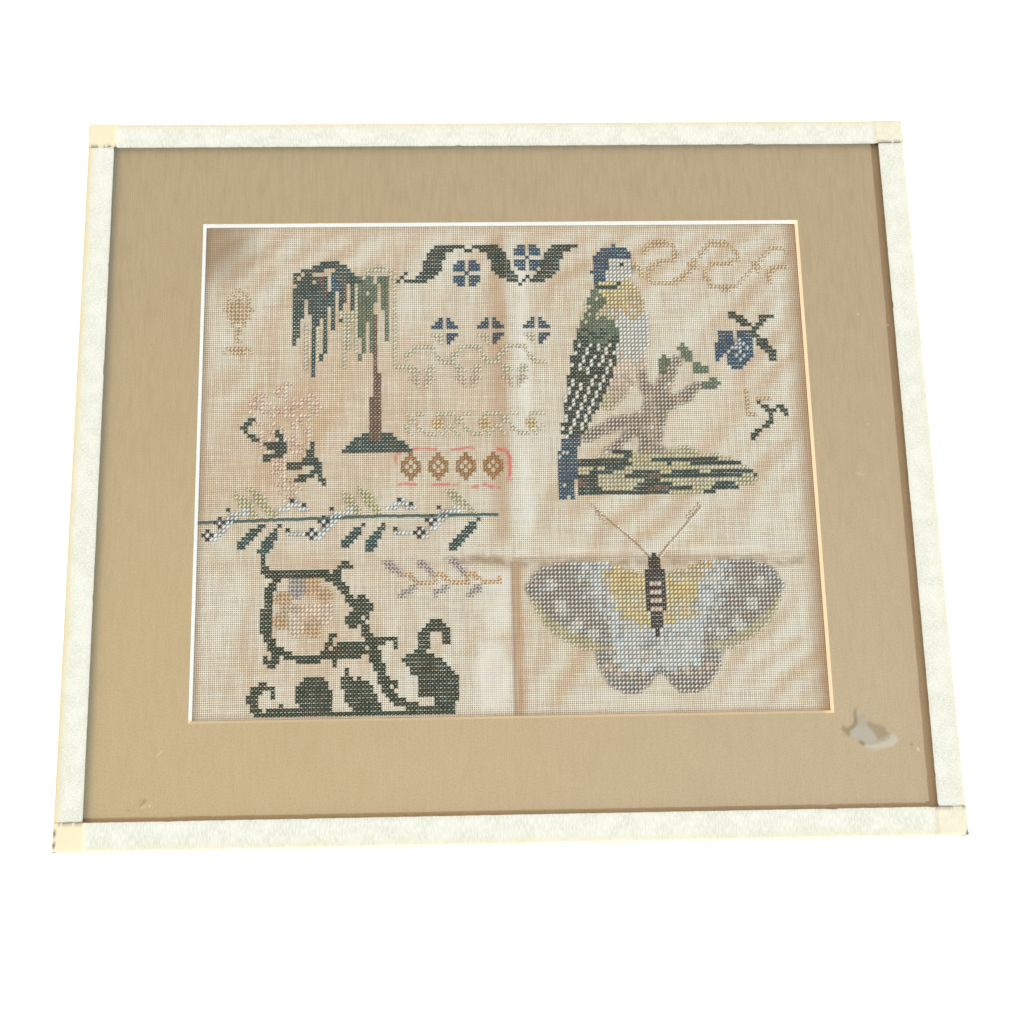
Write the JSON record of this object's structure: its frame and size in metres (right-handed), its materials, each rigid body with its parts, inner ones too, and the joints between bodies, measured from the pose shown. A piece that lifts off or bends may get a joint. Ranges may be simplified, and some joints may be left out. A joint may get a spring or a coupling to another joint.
{
  "type": "framed cross stitch sampler",
  "caption": "Old linen cross stitch sampler behind a bevelled tan window mat and clear glass, bound round the edges with cream paper tape.",
  "frame": {"origin": "on the resting surface, under the middle of the stack", "axes": "+X to the picture's right, +Y to the picture's top, +Z out of the glass towards the viewer"},
  "size_m": [0.4064, 0.3556, 0.0106],
  "materials": {
    "grey_board": "matte recycled card",
    "aged_linen": "even-weave linen, yellowed and spotted with age, worked in wool and silk cross stitch",
    "tan_mat_board": "matte tan face paper with a fine laid texture over a white core",
    "clear_glass": "clear polished sheet",
    "cream_paper_tape": "creped gummed paper tape, matte, yellowed at the corners"
  },
  "bodies": {
    "root": {"backing_board": "grey_board", "sampler_cloth": "aged_linen", "window_mat": "tan_mat_board", "glazing": "clear_glass", "binding_left": "cream_paper_tape", "binding_right": "cream_paper_tape", "binding_bottom": "cream_paper_tape", "binding_top": "cream_paper_tape"}
  },
  "joints": []
}
